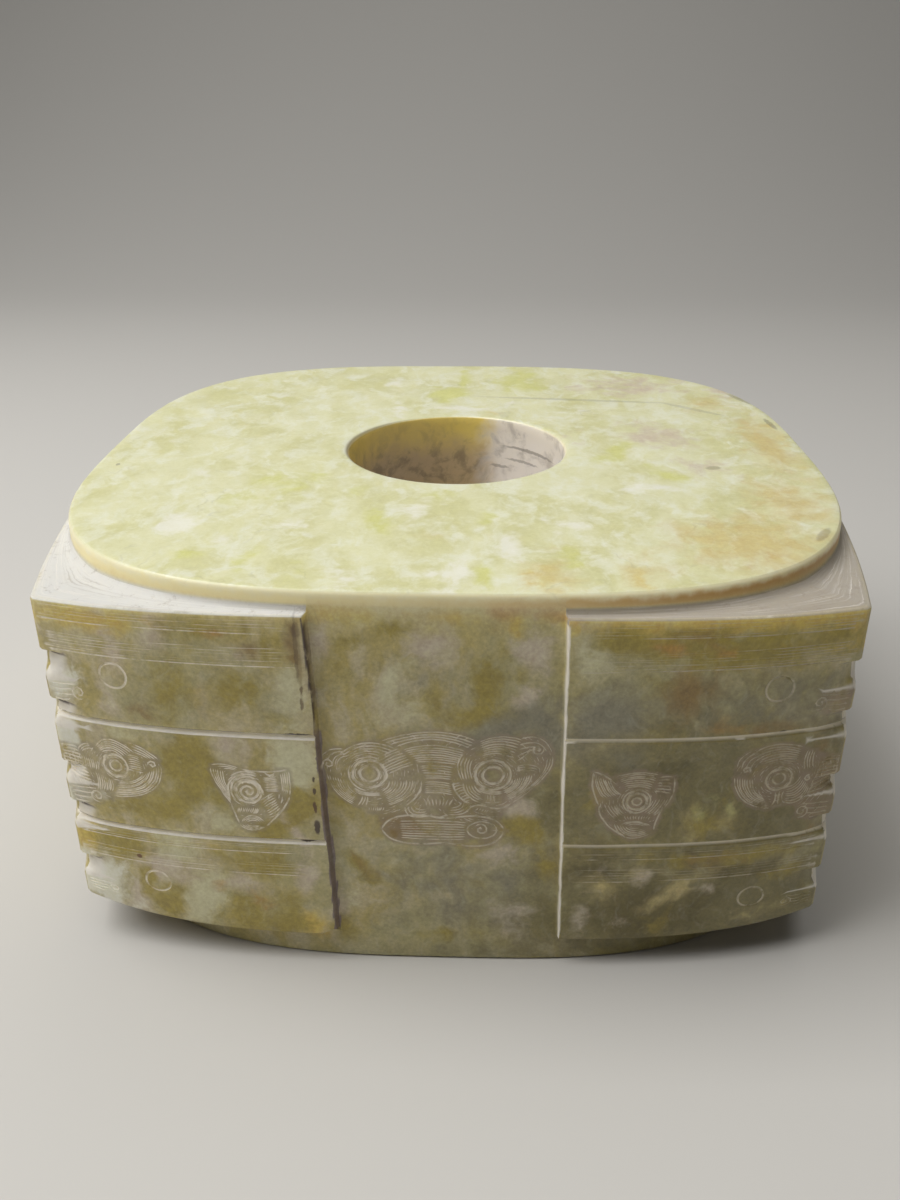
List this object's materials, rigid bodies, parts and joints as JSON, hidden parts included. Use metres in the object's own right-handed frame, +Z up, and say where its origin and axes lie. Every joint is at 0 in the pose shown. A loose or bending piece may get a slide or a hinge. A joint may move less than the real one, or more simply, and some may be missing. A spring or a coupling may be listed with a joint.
{
  "type": "jade cong",
  "caption": "Broad, low carved jade tube: a round bore in a rounded-square block with tiered corner blocks and fine mask carving.",
  "frame": {"origin": "middle of the underside, on the axis of the bore", "axes": "+Z up along the bore, +X to the right of the face shown in front, -Y out of that face"},
  "size_m": [0.176, 0.1744, 0.0887],
  "materials": {
    "jade": "soft waxy polish, mottled yellow-green with cream clouds, chalky in the carved lines"
  },
  "bodies": {
    "root": {"jade_cong": "jade"}
  },
  "joints": []
}
